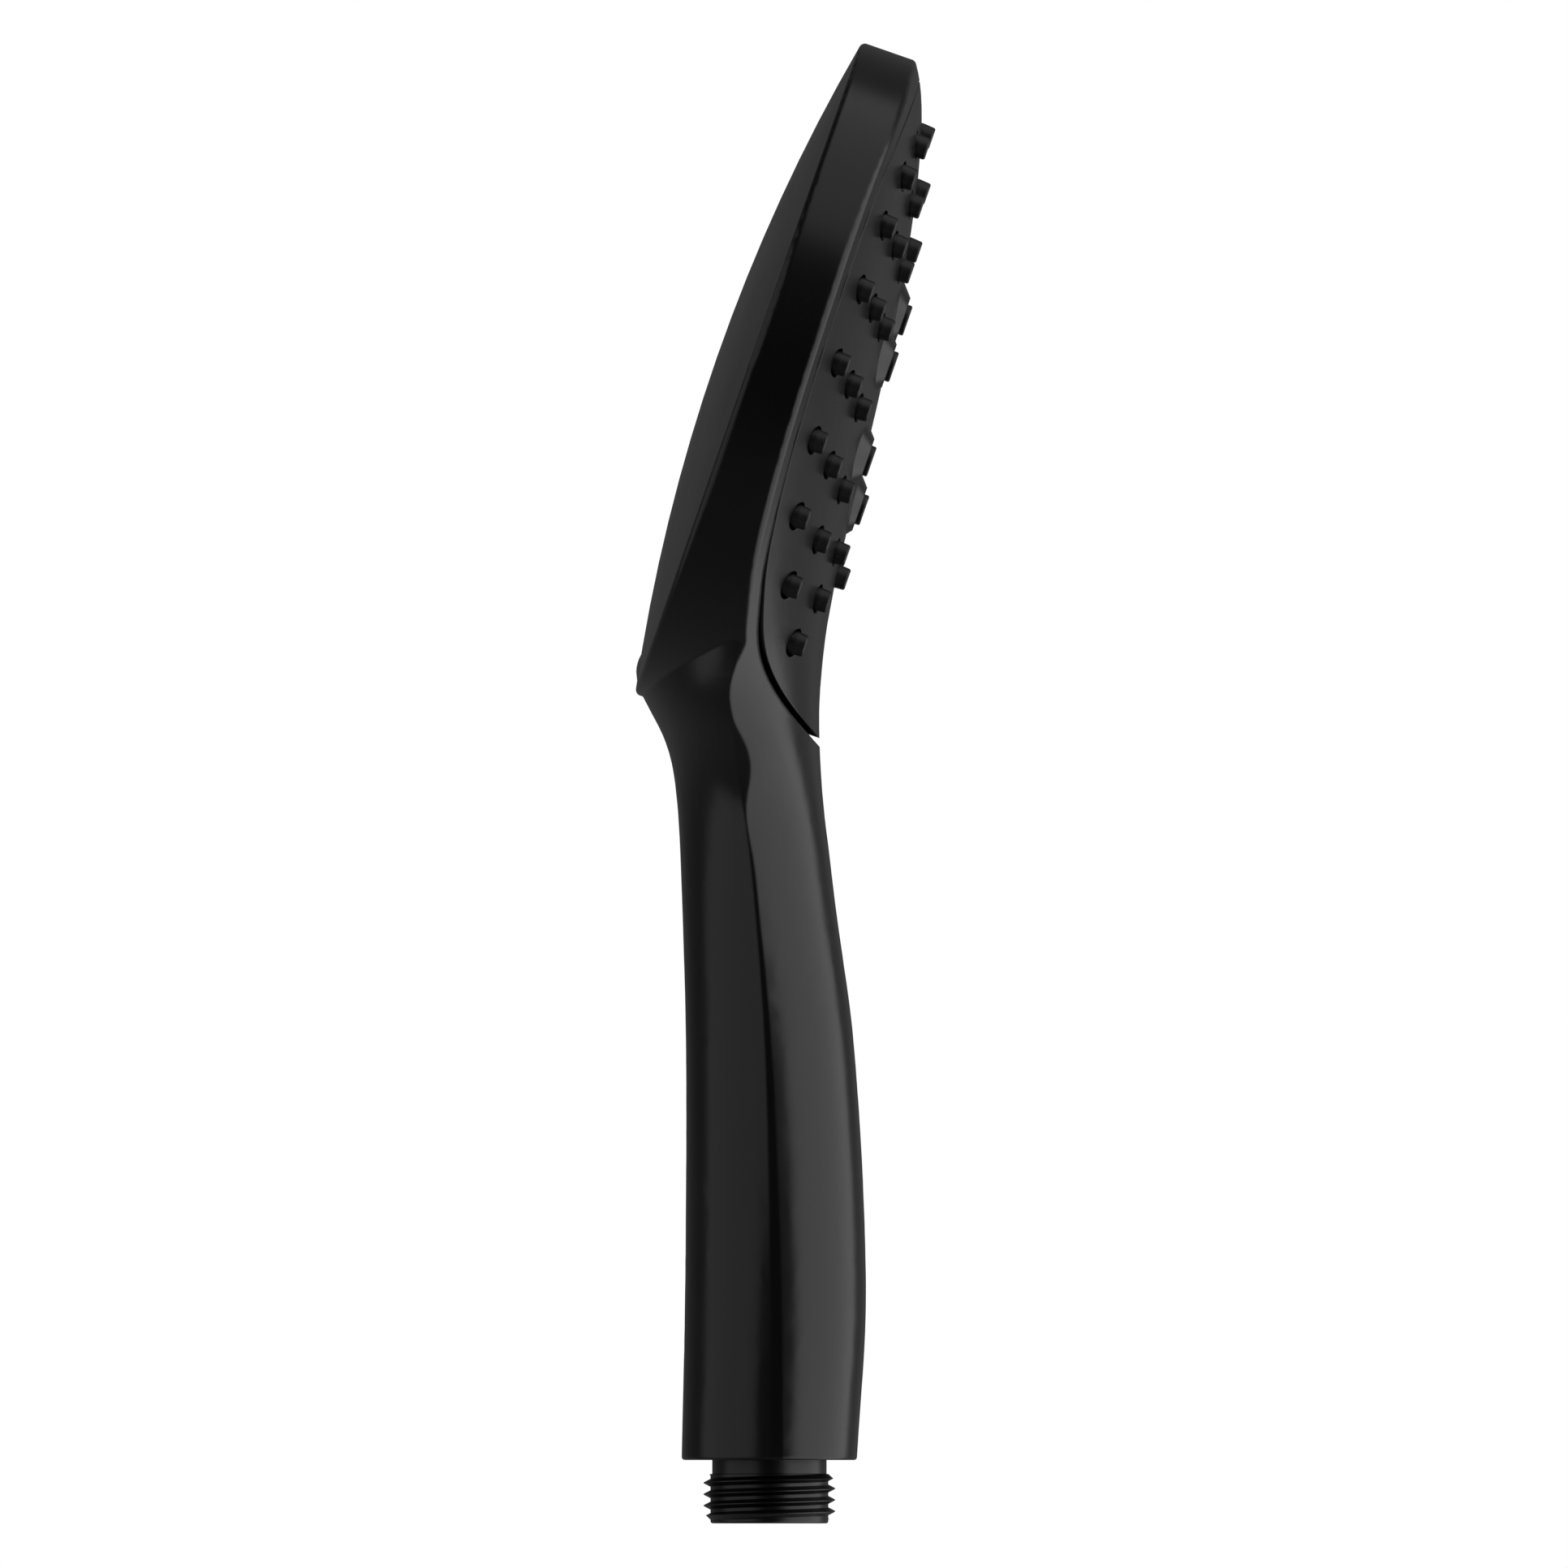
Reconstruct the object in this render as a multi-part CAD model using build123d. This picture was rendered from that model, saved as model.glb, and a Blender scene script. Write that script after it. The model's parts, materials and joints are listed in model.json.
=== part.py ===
from build123d import *
from math import asin, cos, degrees, hypot, pi, radians, sin, sqrt, tan
import os

# Handheld shower head, in millimetres.
# The origin is the middle of the inlet's end face. +Z runs up the handle, and
# +X is the side that the water leaves from. The round head leans forward, so
# its pieces are drawn in a head frame: x up the face, z along the spray.

# Head
HEAD_TILT = 19.2
HEAD_R = 55.0
BAND_BACK = 11.45
DOME_RISE = 5.35
RIM_ROUND = 1.0
RIM_X = -21.4
RIM_Z = 132.2
WALL = 2.2

# Front skin: share of the head radius up the face, crown height, cross radius
FACE_SECTIONS = [
    (-0.92, 18.1, 38.0),
    (-0.80, 16.0, 50.0),
    (-0.60, 13.6, 80.0),
    (-0.30, 11.6, 112.0),
    (0.00, 10.0, 130.0),
    (0.30, 7.9, 138.0),
    (0.60, 5.1, 132.0),
    (0.84, 1.7, 126.0),
    (0.97, -1.4, 120.0),
    (1.06, -4.6, 118.0),
]
FACE_MARGIN = 5.5
FACE_STEP = 5.0

# Handle and neck: height, back, side line, front, half width, half angles of the back and front arcs
HANDLE_BOTTOM = 10.1
GRIP = [
    (HANDLE_BOTTOM, -14.0, 0.3, 13.95, 14.0, 88.0, 88.0),
    (37.0, -13.45, 0.3, 15.4, 14.4, 84.0, 86.0),
    (75.0, -13.3, -0.65, 13.6, 14.5, 71.0, 81.0),
    (100.0, -13.95, -2.5, 10.35, 15.4, 63.0, 73.0),
    (113.0, -14.55, -4.0, 8.9, 17.5, 62.0, 69.0),
    (120.0, -15.35, -5.0, 8.3, 21.0, 64.0, 68.0),
    (126.0, -17.0, -5.8, 8.0, 26.3, 67.0, 68.0),
    (RIM_Z + 0.6, -21.2, -5.7, 8.1, 31.2, 74.0, 68.0),
    (RIM_Z + 8.0, -18.5, -5.3, 8.9, 36.0, 80.0, 68.0),
    (RIM_Z + 16.0, -14.5, -4.0, 10.0, 38.0, 80.0, 68.0),
]
SLICE_STEP = 7.0
NECK_ROOT_W = 26.8
NECK_FRONT = (8.0, 113.5, -4.0, 13.05, 17.75, 69.0)
NECK_ROOT_CROWN = 19.95
NECK_ROOT_SHARE = -1.007
NECK_ROOT_DEPTH = 15.1
NECK_ROOT_ANGLE = 71.0
SIDE_CREASE = 0.16
FRONT_RIM_ROUND = 1.0
HANDLE_ROUND = 0.5
SKIN_DEPTH = 45.0
HOLLOW_RISE = 1.5
ARC_STEPS = 8

# Spray plate
RIM_STRIP = 3.0
PLATE_T = 2.0
PLATE_GAP = 0.3
THUMB_GAP = 1.3
THUMB_SHIFT = 1.5
HOLE_REACH = 6.0

# Nozzle rings: radius, centre up the face, places round, nozzles each side of the top one
RAIN_RINGS = [
    (45.1, -1.0, 22, 9),
    (36.0, -0.5, 17, 7),
    (26.5, -0.2, 12, 6),
]
JET_RING_R = 15.4
JET_COUNT = 6
NOZZLE_TIP_R = 1.75
NOZZLE_BASE_R = 1.9
NOZZLE_RISE = 1.85
NOZZLE_ROUND = 0.35
NOZZLE_BORE_R = 0.5
NOZZLE_FEED_R = 1.2
NOZZLE_PLAY = 0.5
JET_R = 2.5
JET_RISE = 2.0
JET_ROUND = 0.3
JET_BORE_R = 0.9
JET_FEED_R = 1.6
JET_PLAY = 0.42
PAD_TOP_R = 3.6
PAD_FOOT_R = 5.0
PAD_RISE = 1.2
PAD_SINK = 1.2

# Stack inside the head
MAT_DEPTH = 5.0
MAT_T = 1.2
SEAT_GAP = 0.05
PRESS_GAP = 0.01
CHASSIS_BACK = 7.2
CHASSIS_GAP = 3.2
CHAMBER_DEPTH = 2.0
COVER_T = 1.4
COVER_R = 45.3
COVER_RIM = 2.6
GASKET_D = 1.2
GASKET_ROOM = 0.1
POST_WALL = 1.3
POCKET_R = 18.6
POCKET_FLOOR = 0.8
FLANGE_T = 1.2
FLANGE_LAND = 1.6
AXLE_R = 1.0
AXLE_SOCKET = 2.0
AXLE_FOOT = 0.6
RUN_GAP = 0.05
WHEEL_GAP = 0.4
HUB_R = 3.0
HUB_RISE = 1.0
SLOTS = 3
SLOT_IN = 0.62
SLOT_OUT = 0.8
SLOT_HALF = 4.0
BLADES = 8
BLADE_T = 0.9
BLADE_TIP = 4.0
WHEEL_RIM = 3.0
SHUTTER_T = 1.0

# Diverter
VALVE_U = -39.0
SLEEVE_R = 6.0
SPOOL_R = 3.2
SPOOL_GAP = 0.3
SPOOL_TIP_R = 2.2
TIP_PLAY = 0.6
TIP_GAP = 0.3
TIP_BOSS_H = 1.6
TIP_BOSS_WALL = 1.2
CAP_T = 1.2
CAP_GAP = 0.6
RING_D = 1.4
RING_IN = 1.4
SPOOL_WAIST = 1.2
SPOOL_WAIST_H = 4.0
SPOOL_FOOT = 2.6
SLEEVE_RING_D = 1.0
SLEEVE_ROOM = 2.0
OUTLET_R = 1.6
OUTLET_UP = 3.0
INLET_STEP = 0.6

# Hinge of the plate
PIN_R = 1.0
PIN_U = 49.1
PIN_N = -5.6
LUG_R = 1.9
LUG_IN = 6.0
LUG_T = 3.4
EAR_T = 3.6
EAR_GAP = 0.35
EAR_DEPTH = 3.0
NOTCH_GAP = 1.0
SPRING_WIRE = 0.5
SPRING_TURNS = 4
SPRING_LOOSE = 1.5

# Screws
SCREW_R = 1.1
SCREW_HEAD_R = 2.0
SCREW_HEAD_H = 1.3
SCREW_GAP = 0.1
SCREW_HEAD_GAP = 0.3
SCREW_OUT = 0.6
SCREW_IN = 2.4
TAB_T = 2.0
COVER_SCREW_IN = 5.0
SCREW_HOLE_END = 0.5
COVER_SCREW_RING = 22.5
COVER_SCREWS = 6
CHASSIS_SCREW_ANGLES = [49.1, 130.9, -49.1, -130.9]
BOSS_R = 2.4
BOSS_H = 6.0

# Water tube
TUBE_R = 5.0
TUBE_WALL = 1.2
TUBE_N = 2.1
TUBE_STRAIGHT = 48.0
TUBE_BEND = 40.0
TUBE_HEAD_BEND = 18.0
TUBE_FOOT = 28.0
TUBE_SEAT = 5.0
TUBE_STOP = 1.0
TUBE_SHORT = 1.2
TUBE_KNEE = 0.5
TUBE_RING_UP = 4.0
TUBE_RING_BACK = 0.4
ORING_D = 1.6
RING_ROOM = 0.15

# Inlet connector: 20.955 mm pipe thread, 14 turns to the inch
THREAD_R = 10.4775
THREAD_PITCH = 1.814
THREAD_CORE_R = 9.4
THREAD_TOP = 7.9
THREAD_FROM = 0.6
THREAD_START = 137.0
CREST = 0.16
FLANK_ANGLE = 27.5
RIDGE_SINK = 0.3
END_ROUND = 0.4
NECK_R = 9.125
PLUG_R = 10.0
PLUG_TOP = 26.0
SOCKET_GAP = 0.1
SPIGOT_R = 8.2
SPIGOT_TOP = 36.0
CARTRIDGE_R = 6.7
CARTRIDGE_GAP = 0.1
CARTRIDGE_TOP = 24.0
STRAINER_Z = 2.0
STRAINER_T = 1.4
STRAINER_SKIN = 0.6
STRAINER_RIM = 1.0
MESH_ROWS = 3
MESH_HOLE_R = 0.55
MESH_PITCH = 1.7
LIMITER_T = 5.0
LIMITER_POST_R = 2.6
LIMITER_WALL = 1.0
LIMITER_ROOF = 1.5
LIMITER_HOLES = 8
LIMITER_HOLE_R = 0.6
LIMITER_RING_UP = 0.6
STACK_GAP = 0.1
VALVE_WALL = 0.9
VALVE_SEAT_R = 3.6
VALVE_SEAT_T = 1.6
SEAL_T = 0.8
SEAL_GAP = 0.02
POPPET_R = 4.7
POPPET_T = 1.4
STEM_R = 1.2
STEM_GAP = 0.06
GUIDE_T = 1.6
GUIDE_GAP = 0.03
GUIDE_HOLES = 3
GUIDE_HOLE_R = 1.4
GUIDE_HOLE_IN = 2.2
VALVE_SPRING_WIRE = 0.5
VALVE_SPRING_OUT = 1.0
VALVE_SPRING_TURNS = 5
BIG = 120.0

tilt = radians(HEAD_TILT)
up_face = Vector(sin(tilt), 0, cos(tilt))
spray = Vector(cos(tilt), 0, -sin(tilt))
head_centre = Vector(RIM_X, 0, RIM_Z) + up_face * HEAD_R + spray * BAND_BACK
head = Plane(origin=head_centre, x_dir=up_face, z_dir=spray)


def in_head(shape):
    return head.location * shape


def rod(r, z0, z1, x=0.0, y=0.0):
    return Pos(x, y, (z0 + z1) / 2) * Cylinder(r, z1 - z0)


def tube(r_out, r_in, z0, z1, x=0.0, y=0.0):
    return rod(r_out, z0, z1, x, y) - rod(r_in, z0 - 1, z1 + 1, x, y)


def frustum(r0, r1, z0, z1, x=0.0, y=0.0):
    return Pos(x, y, (z0 + z1) / 2) * Cone(r0, r1, z1 - z0)


def rounded_tip(r0, r1, rise, edge):
    """A turned tip that stands on its foot, with a rounded rim."""
    profile = make_face(Polyline((0, 0), (r0, 0), (r1, rise), (0, rise), close=True))
    rim = profile.vertices().sort_by_distance((r1, rise))[0]
    return revolve(Plane.XZ * fillet(rim, edge), Axis.Z)


def box(x0, x1, y0, y1, z0, z1):
    centre = Pos((x0 + x1) / 2, (y0 + y1) / 2, (z0 + z1) / 2)
    return centre * Box(abs(x1 - x0), abs(y1 - y0), abs(z1 - z0))


def oring(section, floor_r, z, gap=SEAT_GAP):
    return Pos(0, 0, z) * Torus(floor_r + section / 2 + gap, section / 2)


def station(x, z, lean):
    lean = radians(lean)
    return Plane(origin=(x, 0, z), x_dir=(0, -1, 0), z_dir=(sin(lean), 0, cos(lean)))


def crown_section(plane, half_width, depth, half_angle, way):
    """One slice: an arc crowned to the front (way 1) or back (way -1), with straight sides behind it."""
    angle = radians(half_angle)
    across = half_width / sin(angle)
    deep = depth / (1 - cos(angle))
    turns = [angle * (1 - 2 * k / ARC_STEPS) for k in range(ARC_STEPS + 1)]
    points = [(across * sin(t), way * (depth - deep + deep * cos(t))) for t in turns]
    ends = [(-across * cos(t), way * deep * sin(t)) for t in (angle, -angle)]
    arc = Spline(*points, tangents=ends)
    far = -way * SKIN_DEPTH
    sides = Polyline((-half_width, 0), (-half_width, far), (half_width, far), (half_width, 0))
    return plane.location * Wire([arc, *sides.edges()])


def blend(keys, z, column):
    """Smooth value of one column of a list of stations at a height between them."""
    last = len(keys) - 1
    k = max(i for i in range(last) if z >= keys[i][0] or i == 0)

    def slope(i):
        lo = max(i - 1, 0)
        hi = min(i + 1, last)
        return (keys[hi][column] - keys[lo][column]) / (keys[hi][0] - keys[lo][0])

    span = keys[k + 1][0] - keys[k][0]
    t = (z - keys[k][0]) / span
    start = keys[k][column] * (1 + 2 * t) * (1 - t) ** 2 + slope(k) * span * t * (1 - t) ** 2
    end = keys[k + 1][column] * (3 - 2 * t) * t**2 - slope(k + 1) * span * t**2 * (1 - t)
    return start + end


def face_slice(along, crown, cross, half_width):
    """One slice of the space behind the domed face, a given way up it."""
    depth = cross - sqrt(cross**2 - half_width**2)
    foot = head_centre + up_face * along + spray * (crown - depth)
    plane = station(foot.X, foot.Z, HEAD_TILT)
    return crown_section(plane, half_width, depth, degrees(asin(half_width / cross)), 1)


def make_front_space():
    slices = []
    low = HANDLE_BOTTOM - SLICE_STEP
    count = round((NECK_FRONT[1] - SLICE_STEP - low) / SLICE_STEP)
    for k in range(count + 1):
        height = low + (NECK_FRONT[1] - SLICE_STEP - low) * k / count
        z = max(height, HANDLE_BOTTOM)
        side, front, half_width, angle = [blend(GRIP, z, column) for column in (2, 3, 4, 6)]
        plane = station(side, height, 0)
        slices.append(crown_section(plane, half_width + SIDE_CREASE, front - side, angle, 1))
    lean, z, side, depth, half_width, angle = NECK_FRONT
    slices.append(crown_section(station(side, z, lean), half_width, depth, angle, 1))
    root = head_centre + up_face * NECK_ROOT_SHARE * HEAD_R + spray * (NECK_ROOT_CROWN - NECK_ROOT_DEPTH)
    plane = station(root.X, root.Z, HEAD_TILT)
    slices.append(crown_section(plane, NECK_ROOT_W, NECK_ROOT_DEPTH, NECK_ROOT_ANGLE, 1))
    first, last = FACE_SECTIONS[0][0], FACE_SECTIONS[-1][0]
    count = round((last - first) * HEAD_R / FACE_STEP)
    for k in range(count + 1):
        share = first + (last - first) * k / count
        crown, cross = [blend(FACE_SECTIONS, share, column) for column in (1, 2)]
        along = share * HEAD_R
        half_width = sqrt((HEAD_R + FACE_MARGIN) ** 2 - along**2)
        slices.append(face_slice(along, crown, cross, half_width))
    return Solid.make_loft(slices)


def make_back_space(inset, top_z):
    """The handle's and neck's back, running up into the head."""
    slices = []
    count = round((GRIP[-1][0] - HANDLE_BOTTOM) / SLICE_STEP)
    for k in range(count + 1):
        z = HANDLE_BOTTOM + (GRIP[-1][0] - HANDLE_BOTTOM) * k / count
        back, side, half_width, angle = [blend(GRIP, z, column) for column in (1, 2, 4, 5)]
        depth = side - back - inset
        slices.append(crown_section(station(side, z, 0), half_width - inset, depth, angle, -1))
    return Solid.make_loft(slices) & box(-BIG, BIG, -BIG, BIG, 0, top_z)


dome_r = (HEAD_R**2 + DOME_RISE**2) / (2 * DOME_RISE)
plate_r = HEAD_R - RIM_STRIP
opening_r = plate_r + PLATE_GAP
front_space = make_front_space()
front_in_head = head.to_local_coords(front_space)


def behind_front(depth):
    """The space behind the front skin, seen in the head frame and set back along the spray."""
    return Pos(0, 0, -depth) * front_in_head


def front_height(u, w):
    """Height of the front skin along the spray at a place on the face."""
    hits = front_in_head.find_intersection_points(Axis((u, w, BIG), (0, 0, -1)))
    return max(point.Z for point, normal in hits)


def rain_places():
    places = []
    for ring_r, centre, count, each_side in RAIN_RINGS:
        ends = each_side if 2 * each_side + 1 <= count else each_side - 1
        steps = range(-ends, ends + 1)
        if 2 * each_side == count:
            steps = range(-ends, ends + 2)
        for step in steps:
            angle = 2 * pi * step / count
            places.append((centre + ring_r * cos(angle), ring_r * sin(angle)))
    return places


def jet_places():
    angles = [2 * pi * k / JET_COUNT for k in range(JET_COUNT)]
    return [(JET_RING_R * cos(a), JET_RING_R * sin(a)) for a in angles]


RAIN = [(u, w, front_height(u, w)) for u, w in rain_places()]
JETS = [(u, w, front_height(u, w)) for u, w in jet_places()]
chassis_r = opening_r - CHASSIS_GAP
hinge_half = LUG_IN + LUG_T + EAR_GAP + EAR_T
notch_half = hinge_half + NOTCH_GAP
hinge_notch = box(PIN_U - LUG_R - EAR_GAP * 2, BIG, -notch_half, notch_half, -BIG, BIG)
chassis_screw_r = chassis_r + SCREW_OUT
screw_places = [
    (chassis_screw_r * cos(radians(a)), chassis_screw_r * sin(radians(a))) for a in CHASSIS_SCREW_ANGLES
]


def inner_dome(z_shift):
    return Pos(0, 0, -BAND_BACK - DOME_RISE + z_shift + dome_r) * Sphere(dome_r)


def make_puck():
    """The head's round back: a shallow dome, a rounded rim and a straight wall."""
    apex = -BAND_BACK - DOME_RISE
    dome = CenterArc((0, apex + dome_r), dome_r, 270, degrees(asin(HEAD_R / dome_r)))
    sides = Polyline((HEAD_R, -BAND_BACK), (HEAD_R, SKIN_DEPTH), (0, SKIN_DEPTH), (0, apex))
    profile = make_face([dome, *sides.edges()])
    corner = profile.vertices().sort_by_distance((HEAD_R, -BAND_BACK))[0]
    return revolve(Plane.XZ * fillet(corner, RIM_ROUND), Axis.Z)


def make_body_shell():
    puck = in_head(make_puck())
    outer = (puck + make_back_space(0, BIG * 2)) & front_space
    front_rim = outer.edges().filter_by(GeomType.BSPLINE).sort_by(Axis.Z)[-2:]
    outer = fillet(front_rim, FRONT_RIM_ROUND)
    outer = fillet(outer.edges().filter_by_position(Axis.Z, 0, HANDLE_BOTTOM + 0.1), HANDLE_ROUND)
    pocket = rod(opening_r, -BAND_BACK - DOME_RISE, BIG) & inner_dome(WALL)
    thumb_r = plate_r + THUMB_GAP - THUMB_SHIFT
    thumb = rod(thumb_r, 0, BIG, -THUMB_SHIFT)
    shell = outer - in_head(pocket) - in_head(thumb)
    hollow = make_back_space(WALL, RIM_Z + HOLLOW_RISE) & (Pos(-WALL, 0, 0) * front_space)
    hollow = hollow & box(-BIG, BIG, -BIG, BIG, PLUG_TOP, BIG * 2)
    shell = shell - hollow - rod(PLUG_R + SOCKET_GAP, HANDLE_BOTTOM - 1, PLUG_TOP + 1)
    ears = Part()
    for side in (-1, 1):
        near = side * (hinge_half - EAR_T)
        low = PIN_N - LUG_R - EAR_DEPTH
        ear = box(PIN_U - LUG_R, HEAD_R, near, side * hinge_half, low, PIN_N + LUG_R)
        ears += ear & rod(HEAD_R - WALL / 2, -BIG, BIG)
    pin_hole = Pos(PIN_U, 0, PIN_N) * Rot(90, 0, 0) * Cylinder(PIN_R + PRESS_GAP, BIG / 3)
    shell = shell + in_head(ears - pin_hole)
    for u, w in screw_places:
        boss = rod(BOSS_R, -CHASSIS_BACK - BOSS_H, -CHASSIS_BACK - SEAT_GAP, u, w) & inner_dome(WALL / 2)
        boss = boss & rod(HEAD_R - WALL / 2, -BIG, BIG)
        bottom = -CHASSIS_BACK - SCREW_IN - SCREW_HOLE_END
        shell = shell + in_head(boss - rod(SCREW_R, bottom, 0, u, w))
    return shell


def make_spray_plate():
    plate = rod(plate_r, -BIG / 2, BIG / 2) & behind_front(0)
    plate = plate - behind_front(PLATE_T)
    sunk_r = PAD_FOOT_R + (PAD_FOOT_R - PAD_TOP_R) * PAD_SINK / PAD_RISE
    pads = [frustum(sunk_r, PAD_TOP_R, h - PAD_SINK, h + PAD_RISE, u, w) for u, w, h in JETS]
    plate = plate + pads
    reach = HOLE_REACH
    holes = [rod(NOZZLE_BASE_R + NOZZLE_PLAY, h - reach, h + reach, u, w) for u, w, h in RAIN]
    holes += [rod(JET_R + JET_PLAY, h - reach, h + reach, u, w) for u, w, h in JETS]
    plate = plate - holes
    for side in (-1, 1):
        lug = Pos(PIN_U, side * (LUG_IN + LUG_T / 2), PIN_N) * Rot(90, 0, 0) * Cylinder(LUG_R, LUG_T)
        web = box(PIN_U - LUG_R, PIN_U + LUG_R, side * LUG_IN, side * (LUG_IN + LUG_T), PIN_N, 0)
        plate = plate + lug + (web & behind_front(PLATE_T / 2))
    pin_hole = Pos(PIN_U, 0, PIN_N) * Rot(90, 0, 0) * Cylinder(PIN_R + RUN_GAP, BIG / 3)
    plate = plate - pin_hole
    under = front_height(VALVE_U, 0) - PLATE_T
    boss_r = SPOOL_TIP_R + TIP_PLAY
    boss = tube(boss_r + TIP_BOSS_WALL, boss_r, under - TIP_BOSS_H, under + PLATE_T, VALVE_U)
    plate = plate + (boss & behind_front(PLATE_T / 2))
    return plate


def make_nozzle_mat():
    mat = rod(chassis_r, -BIG / 2, BIG / 2) & behind_front(MAT_DEPTH)
    mat = mat - hinge_notch - rod(POCKET_R + FLANGE_LAND, -BIG, BIG)
    mat = mat - rod(SLEEVE_R + SLEEVE_ROOM, -BIG, BIG, VALVE_U)
    mat = mat - [rod(SCREW_HEAD_R + SCREW_HEAD_GAP, -BIG, BIG, u, w) for u, w in screw_places]
    tip = rounded_tip(NOZZLE_BASE_R, NOZZLE_TIP_R, NOZZLE_RISE, NOZZLE_ROUND)
    nozzles = []
    for u, w, h in RAIN:
        stem = rod(NOZZLE_BASE_R, h - MAT_DEPTH - MAT_T, h, u, w)
        nozzles += [stem, Pos(u, w, h) * tip]
    mat = mat + nozzles - behind_front(MAT_DEPTH + MAT_T)
    mat = mat - [rod(NOZZLE_FEED_R, h - MAT_DEPTH - MAT_T * 2, h, u, w) for u, w, h in RAIN]
    return mat - [rod(NOZZLE_BORE_R, h - MAT_T, h + BIG, u, w) for u, w, h in RAIN]


def make_massage_jets():
    pad = rod(POCKET_R + FLANGE_LAND - SEAT_GAP * 4, -BIG / 2, BIG / 2) & behind_front(MAT_DEPTH)
    tip = rounded_tip(JET_R, JET_R, JET_RISE, JET_ROUND)
    for u, w, h in JETS:
        pad = pad + [rod(JET_R, h - MAT_DEPTH - MAT_T, h, u, w), Pos(u, w, h) * tip]
    pad = pad - behind_front(MAT_DEPTH + MAT_T)
    pad = pad - [rod(JET_FEED_R, h - MAT_DEPTH - MAT_T * 2, h, u, w) for u, w, h in JETS]
    return pad - [rod(JET_BORE_R, h - MAT_T, h + BIG, u, w) for u, w, h in JETS]


def make_spray_chassis():
    block = rod(chassis_r, -CHASSIS_BACK, BIG) & behind_front(MAT_DEPTH + MAT_T + SEAT_GAP)
    block = block - hinge_notch
    tab_top = -CHASSIS_BACK + TAB_T
    block = block + [rod(SCREW_HEAD_R, -CHASSIS_BACK, tab_top, u, w) for u, w in screw_places]
    head_room = [rod(SCREW_HEAD_R + SCREW_HEAD_GAP, tab_top, BIG, u, w) for u, w in screw_places]
    block = block - head_room - [rod(SCREW_R + SCREW_GAP, -BIG, 0, u, w) for u, w in screw_places]
    block = block - rod(POCKET_R, -CHASSIS_BACK - 1, POCKET_FLOOR)
    block = block - rod(POCKET_R + FLANGE_LAND, -CHASSIS_BACK - 1, -CHASSIS_BACK + FLANGE_T)
    block = block - rod(AXLE_R + PRESS_GAP, -CHASSIS_BACK, POCKET_FLOOR + AXLE_SOCKET)
    block = block - [rod(NOZZLE_FEED_R, -BIG, h, u, w) for u, w, h in RAIN]
    block = block - [rod(JET_FEED_R, 0, h, u, w) for u, w, h in JETS]
    block = block - rod(SLEEVE_R + SEAT_GAP, -BIG, BIG, VALVE_U)
    seat_u = VALVE_U - SLEEVE_R - TUBE_SEAT
    inlet = Pos(seat_u, 0, TUBE_N) * Rot(0, 90, 0)
    block = block - inlet * Pos(0, 0, -BIG / 2 + TUBE_SEAT - TUBE_STOP) * Cylinder(TUBE_R + SCREW_GAP, BIG)
    block = block - inlet * Cylinder(TUBE_R - TUBE_WALL, TUBE_SEAT * 2 + SLEEVE_R)
    ring_groove = Cylinder(TUBE_R + ORING_D + RING_ROOM, ORING_D + 2 * RING_ROOM)
    block = block - Pos(ring_u(), 0, TUBE_N) * Rot(0, 90, 0) * ring_groove
    hole_top = -CHASSIS_BACK + COVER_SCREW_IN + SCREW_HOLE_END
    return block - [rod(SCREW_R, -BIG, hole_top, u, w) for u, w in cover_screw_places()]


def ring_u():
    return VALVE_U - SLEEVE_R - TUBE_SEAT + TUBE_RING_BACK


def cover_screw_places():
    turn = pi / COVER_SCREWS / 2
    angles = [2 * pi * k / COVER_SCREWS + turn for k in range(COVER_SCREWS)]
    return [(COVER_SCREW_RING * cos(a), COVER_SCREW_RING * sin(a)) for a in angles]


def make_chamber_cover():
    back = -CHASSIS_BACK - CHAMBER_DEPTH - COVER_T
    cover = rod(COVER_R, back, -CHASSIS_BACK)
    cover = cover - rod(COVER_R - COVER_RIM, back + COVER_T, BIG)
    cover = cover - hinge_notch
    posts = [rod(SCREW_R + POST_WALL, back, -CHASSIS_BACK, u, w) for u, w in cover_screw_places()]
    cover = cover + posts - [rod(SCREW_R + SCREW_GAP, -BIG, BIG, u, w) for u, w in cover_screw_places()]
    groove_r = COVER_R - COVER_RIM / 2
    groove_half = GASKET_D / 2 + GASKET_ROOM
    return cover - tube(groove_r + groove_half, groove_r - groove_half, -CHASSIS_BACK - GASKET_D, BIG)


def make_chamber_gasket():
    middle = Pos(0, 0, -CHASSIS_BACK - GASKET_D / 2)
    return middle * Torus(COVER_R - COVER_RIM / 2, GASKET_D / 2 - PRESS_GAP)


def make_turbine_cover():
    z0 = -CHASSIS_BACK
    lid = rod(POCKET_R + FLANGE_LAND - SEAT_GAP, z0, z0 + FLANGE_T - SEAT_GAP)
    slot = box(POCKET_R * SLOT_IN, POCKET_R * SLOT_OUT, -SLOT_HALF, SLOT_HALF, -BIG, BIG)
    lid = lid - [Rot(0, 0, 360 / SLOTS * k) * slot for k in range(SLOTS)]
    hub = rod(HUB_R, z0, z0 + FLANGE_T + HUB_RISE)
    return lid + hub - rod(AXLE_R + PRESS_GAP, z0 + AXLE_FOOT, BIG)


def make_turbine_axle():
    return rod(AXLE_R, -CHASSIS_BACK + AXLE_FOOT, POCKET_FLOOR + AXLE_SOCKET)


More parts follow.
